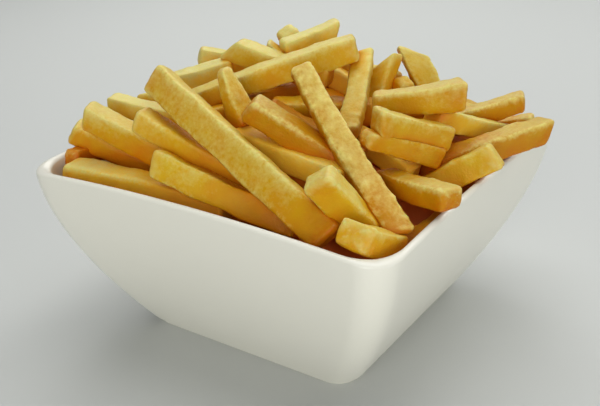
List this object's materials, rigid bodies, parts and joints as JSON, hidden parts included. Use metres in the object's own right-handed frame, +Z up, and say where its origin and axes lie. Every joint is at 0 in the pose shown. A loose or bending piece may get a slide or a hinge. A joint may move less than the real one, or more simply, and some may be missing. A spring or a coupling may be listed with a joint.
{
  "type": "french fries portion",
  "caption": "A portion of straight-cut french fries heaped high in a small square flared bowl of white glazed ceramic, for serving as a side dish.",
  "frame": {"origin": "The middle of the bowl's flat base, on the surface that it stands on.", "axes": "+Z is up, +X and +Y run along two neighbouring sides of the square bowl. A few fries overhang the rim on the +X side."},
  "size_m": [0.14, 0.13, 0.0985],
  "materials": {
    "glaze": "gloss",
    "fried_potato": "fried potato, crisp and lightly oiled"
  },
  "bodies": {
    "root": {"bowl": "glaze", "fries": "fried_potato"}
  },
  "joints": []
}
